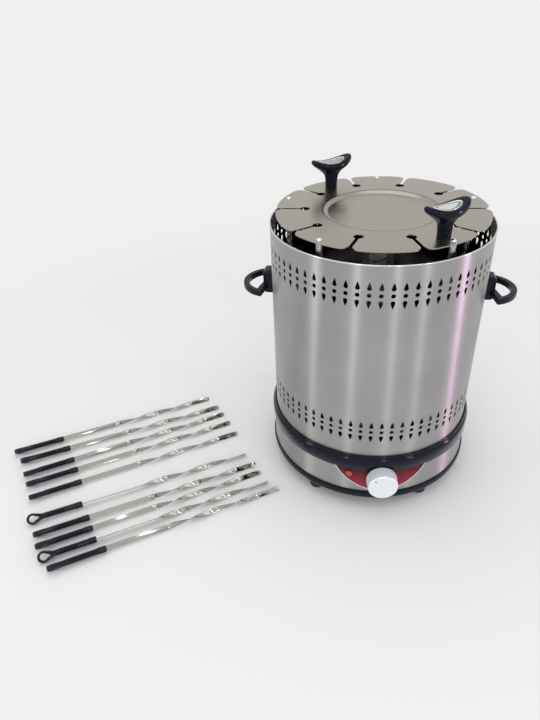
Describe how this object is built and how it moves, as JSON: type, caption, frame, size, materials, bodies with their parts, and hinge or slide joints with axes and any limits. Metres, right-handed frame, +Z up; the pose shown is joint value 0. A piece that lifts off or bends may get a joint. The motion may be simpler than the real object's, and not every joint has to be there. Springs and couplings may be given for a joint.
{
  "type": "electric skewer grill",
  "caption": "Upright round electric grill with a lift-off perforated casing, turning skewer sockets round a central heater, a timer base and loose twisted skewers.",
  "frame": {"origin": "on the grill's vertical axis, in the plane that its feet stand on", "axes": "+Z up along the grill's axis, the timer knob on the front faces -Y, +X to the right seen from the front, so the loose skewers lie on -X"},
  "size_m": [0.8823, 0.4707, 0.5063],
  "materials": {
    "perforated_steel": "bright rolled stainless sheet with a fine vertical grain",
    "plate_steel": "satin stainless sheet with a warm tone",
    "plated_steel": "bright plated posts and screws",
    "black_plastic": "black thermoset moulding, semi-gloss",
    "black_matte": "black moulding, satin",
    "black_paint": "black stove enamel",
    "deck_enamel": "dark enamelled sheet",
    "red_print": "dark red glossy film",
    "silver_trim": "thin bright border",
    "knob_silver": "silver-white metallised moulding",
    "lamp_red": "translucent orange-red lens",
    "foot_rubber": "black rubber",
    "gear_nylon": "natural nylon",
    "machine_steel": "turned steel",
    "galvanised": "zinc-coated sheet",
    "cup_steel": "pressed stainless sheet",
    "ceramic_white": "unglazed heater ceramic",
    "quartz": "clear quartz tube",
    "coil_alloy": "oxidised resistance wire",
    "blade_steel": "stainless strip"
  },
  "bodies": {
    "base": {"bottom_tray": "black_paint", "feet": "foot_rubber", "side_band": "perforated_steel", "ring_cover": "black_plastic", "deck_plate": "deck_enamel", "gear_plate": "galvanised", "support_posts": "plated_steel", "drive_motor": "galvanised", "terminal_block": "ceramic_white", "cord_gland": "black_matte", "heater_caps": "ceramic_white", "heater_tube": "quartz", "heater_core": "ceramic_white", "heater_coil": "coil_alloy", "top_plate": "plate_steel", "plate_screws": "plated_steel", "plate_knobs": "black_plastic", "knob_inlays": "silver_trim", "control_panel": "red_print", "panel_trim": "silver_trim", "indicator_lens": "lamp_red", "timer_body": "black_matte"},
    "casing": {"casing_wall": "perforated_steel", "side_handles": "black_plastic", "side_handle_screws": "plated_steel"},
    "sun": {"sun_gear": "gear_nylon"},
    "pinion": {"motor_pinion": "machine_steel"},
    "cups": {"drip_cups": "cup_steel"},
    "timer": {"timer_knob": "knob_silver", "timer_shaft": "machine_steel"},
    "spindle_01": {"spindle_01": "machine_steel"},
    "spindle_02": {"spindle_02": "machine_steel"},
    "spindle_03": {"spindle_03": "machine_steel"},
    "spindle_04": {"spindle_04": "machine_steel"},
    "spindle_05": {"spindle_05": "machine_steel"},
    "spindle_06": {"spindle_06": "machine_steel"},
    "spindle_07": {"spindle_07": "machine_steel"},
    "spindle_08": {"spindle_08": "machine_steel"},
    "spindle_09": {"spindle_09": "machine_steel"},
    "spindle_10": {"spindle_10": "machine_steel"},
    "skewer_01": {"skewer_blade_01": "blade_steel", "skewer_handle_01": "black_plastic"},
    "skewer_02": {"skewer_blade_02": "blade_steel", "skewer_handle_02": "black_plastic"},
    "skewer_03": {"skewer_blade_03": "blade_steel", "skewer_handle_03": "black_plastic"},
    "skewer_04": {"skewer_blade_04": "blade_steel", "skewer_handle_04": "black_plastic"},
    "skewer_05": {"skewer_blade_05": "blade_steel", "skewer_handle_05": "black_plastic"},
    "skewer_06": {"skewer_blade_06": "blade_steel", "skewer_handle_06": "black_plastic"},
    "skewer_07": {"skewer_blade_07": "blade_steel", "skewer_handle_07": "black_plastic"},
    "skewer_08": {"skewer_blade_08": "blade_steel", "skewer_handle_08": "black_plastic"},
    "skewer_09": {"skewer_blade_09": "blade_steel", "skewer_handle_09": "black_plastic"},
    "skewer_10": {"skewer_blade_10": "blade_steel", "skewer_handle_10": "black_plastic"}
  },
  "joints": [
    {"name": "casing_lift", "type": "slide", "parent": "base", "child": "casing", "axis": [0, 0, 1], "range_m": [0, 0.36]},
    {"name": "sun_spin", "type": "hinge", "parent": "base", "child": "sun", "pos_m": [0, 0, 0.0995], "axis": [0, 0, 1], "continuous": true},
    {"name": "pinion_spin", "type": "hinge", "parent": "base", "child": "pinion", "pos_m": [0.07199, 0.08051, 0.0945], "axis": [0, 0, 1], "continuous": true},
    {"name": "timer_turn", "type": "hinge", "parent": "base", "child": "timer", "pos_m": [0, -0.18, 0.0725], "axis": [0, 1, 0], "range_deg": [0, 300]},
    {"name": "drip_cups_lift", "type": "slide", "parent": "base", "child": "cups", "axis": [0, 0, 1], "range_m": [0, 0.06]},
    {"name": "spindle_spin_01", "type": "hinge", "parent": "base", "child": "spindle_01", "pos_m": [0.02367, -0.10947, 0.1], "axis": [0, 0, 1], "continuous": true},
    {"name": "spindle_spin_02", "type": "hinge", "parent": "base", "child": "spindle_02", "pos_m": [0.08349, -0.07465, 0.1], "axis": [0, 0, 1], "continuous": true},
    {"name": "spindle_spin_03", "type": "hinge", "parent": "base", "child": "spindle_03", "pos_m": [0.11143, -0.01132, 0.1], "axis": [0, 0, 1], "continuous": true},
    {"name": "spindle_spin_04", "type": "hinge", "parent": "base", "child": "spindle_04", "pos_m": [0.0968, 0.05634, 0.1], "axis": [0, 0, 1], "continuous": true},
    {"name": "spindle_spin_05", "type": "hinge", "parent": "base", "child": "spindle_05", "pos_m": [0.0452, 0.10248, 0.1], "axis": [0, 0, 1], "continuous": true},
    {"name": "spindle_spin_06", "type": "hinge", "parent": "base", "child": "spindle_06", "pos_m": [-0.02367, 0.10947, 0.1], "axis": [0, 0, 1], "continuous": true},
    {"name": "spindle_spin_07", "type": "hinge", "parent": "base", "child": "spindle_07", "pos_m": [-0.08349, 0.07465, 0.1], "axis": [0, 0, 1], "continuous": true},
    {"name": "spindle_spin_08", "type": "hinge", "parent": "base", "child": "spindle_08", "pos_m": [-0.11143, 0.01132, 0.1], "axis": [0, 0, 1], "continuous": true},
    {"name": "spindle_spin_09", "type": "hinge", "parent": "base", "child": "spindle_09", "pos_m": [-0.0968, -0.05634, 0.1], "axis": [0, 0, 1], "continuous": true},
    {"name": "spindle_spin_10", "type": "hinge", "parent": "base", "child": "spindle_10", "pos_m": [-0.0452, -0.10248, 0.1], "axis": [0, 0, 1], "continuous": true},
    {"name": "skewer_lift_01", "type": "slide", "parent": "base", "child": "skewer_01", "axis": [0, 0, 1], "range_m": [0, 0.25]},
    {"name": "skewer_lift_02", "type": "slide", "parent": "base", "child": "skewer_02", "axis": [0, 0, 1], "range_m": [0, 0.25]},
    {"name": "skewer_lift_03", "type": "slide", "parent": "base", "child": "skewer_03", "axis": [0, 0, 1], "range_m": [0, 0.25]},
    {"name": "skewer_lift_04", "type": "slide", "parent": "base", "child": "skewer_04", "axis": [0, 0, 1], "range_m": [0, 0.25]},
    {"name": "skewer_lift_05", "type": "slide", "parent": "base", "child": "skewer_05", "axis": [0, 0, 1], "range_m": [0, 0.25]},
    {"name": "skewer_lift_06", "type": "slide", "parent": "base", "child": "skewer_06", "axis": [0, 0, 1], "range_m": [0, 0.25]},
    {"name": "skewer_lift_07", "type": "slide", "parent": "base", "child": "skewer_07", "axis": [0, 0, 1], "range_m": [0, 0.25]},
    {"name": "skewer_lift_08", "type": "slide", "parent": "base", "child": "skewer_08", "axis": [0, 0, 1], "range_m": [0, 0.25]},
    {"name": "skewer_lift_09", "type": "slide", "parent": "base", "child": "skewer_09", "axis": [0, 0, 1], "range_m": [0, 0.25]},
    {"name": "skewer_lift_10", "type": "slide", "parent": "base", "child": "skewer_10", "axis": [0, 0, 1], "range_m": [0, 0.25]}
  ],
  "couplings": [
    {"joint": "pinion_spin", "follows": "sun_spin", "ratio": -3.5},
    {"joint": "spindle_spin_01", "follows": "sun_spin", "ratio": -3},
    {"joint": "spindle_spin_02", "follows": "sun_spin", "ratio": -3},
    {"joint": "spindle_spin_03", "follows": "sun_spin", "ratio": -3},
    {"joint": "spindle_spin_04", "follows": "sun_spin", "ratio": -3},
    {"joint": "spindle_spin_05", "follows": "sun_spin", "ratio": -3},
    {"joint": "spindle_spin_06", "follows": "sun_spin", "ratio": -3},
    {"joint": "spindle_spin_07", "follows": "sun_spin", "ratio": -3},
    {"joint": "spindle_spin_08", "follows": "sun_spin", "ratio": -3},
    {"joint": "spindle_spin_09", "follows": "sun_spin", "ratio": -3},
    {"joint": "spindle_spin_10", "follows": "sun_spin", "ratio": -3}
  ]
}
